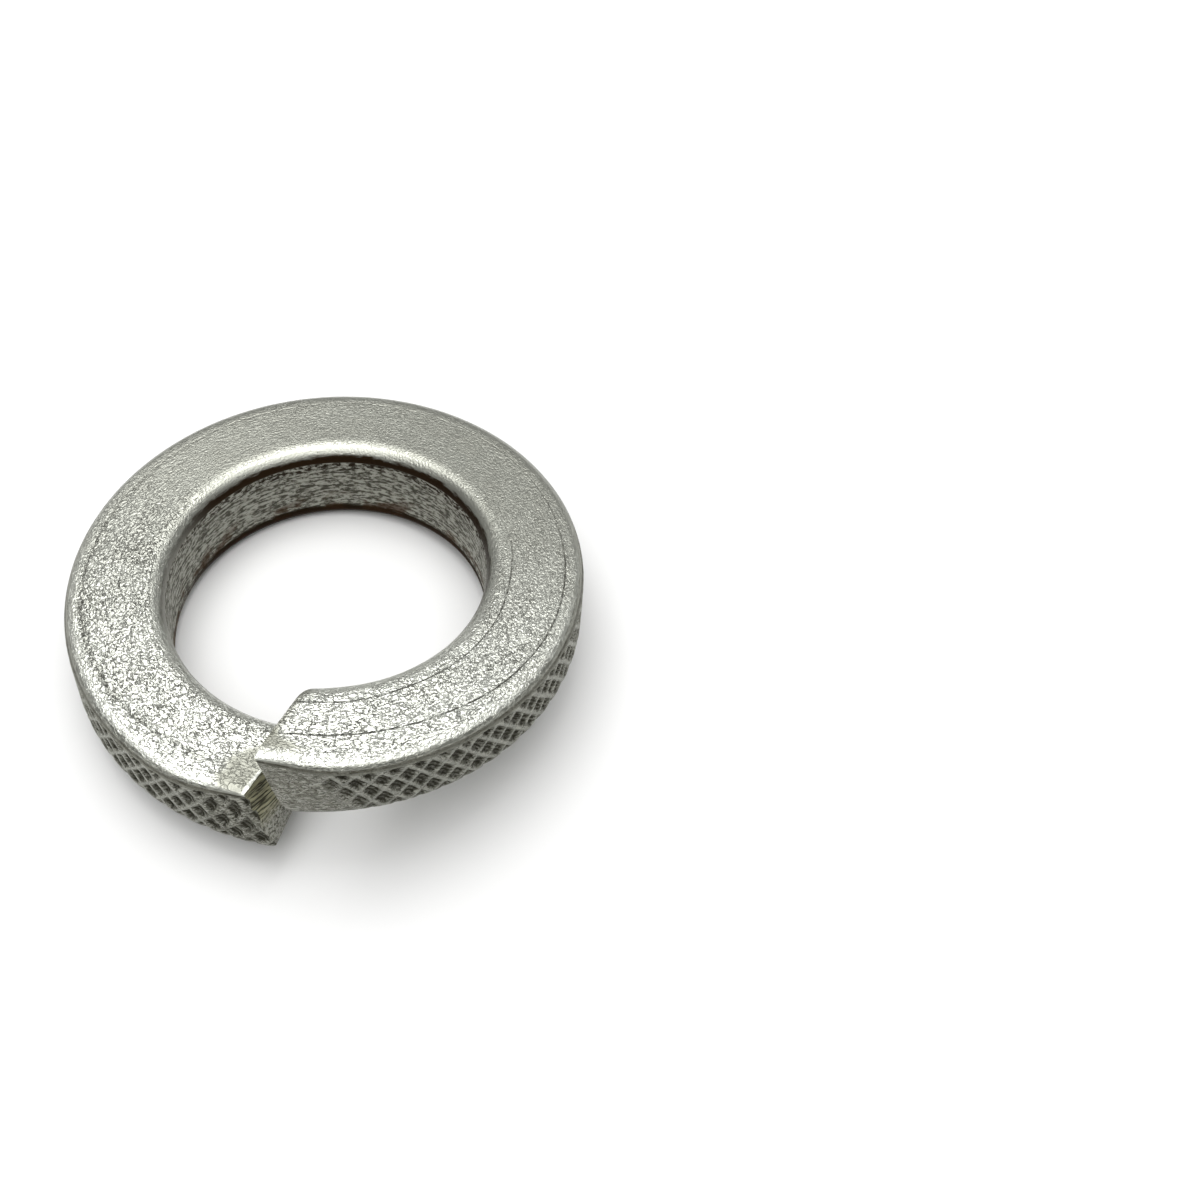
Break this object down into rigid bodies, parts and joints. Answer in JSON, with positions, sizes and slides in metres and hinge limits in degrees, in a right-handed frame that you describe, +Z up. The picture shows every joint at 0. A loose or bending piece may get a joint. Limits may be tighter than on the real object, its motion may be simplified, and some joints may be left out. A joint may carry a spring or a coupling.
{
  "type": "spring lock washer",
  "caption": "Heavy spring lock washer: a coiled ring of nearly square section with a slanted split and a diamond-knurled rim.",
  "frame": {"origin": "point on the resting surface straight under the middle of the coil, which is also the bottom centre of the bounding box", "axes": "+Z up from the surface that the washer lies on; the split faces about -Y; the coil's own axis leans 6 degrees from +Z, towards +Y, because the lower end props the washer up"},
  "size_m": [0.0396, 0.0398, 0.0132],
  "materials": {
    "lock_washer": "bare spring steel, bright and scuffed on the upper face, dull and slightly rusted in the bore and on the rim"
  },
  "bodies": {
    "root": {"lock_washer": "lock_washer"}
  },
  "joints": []
}
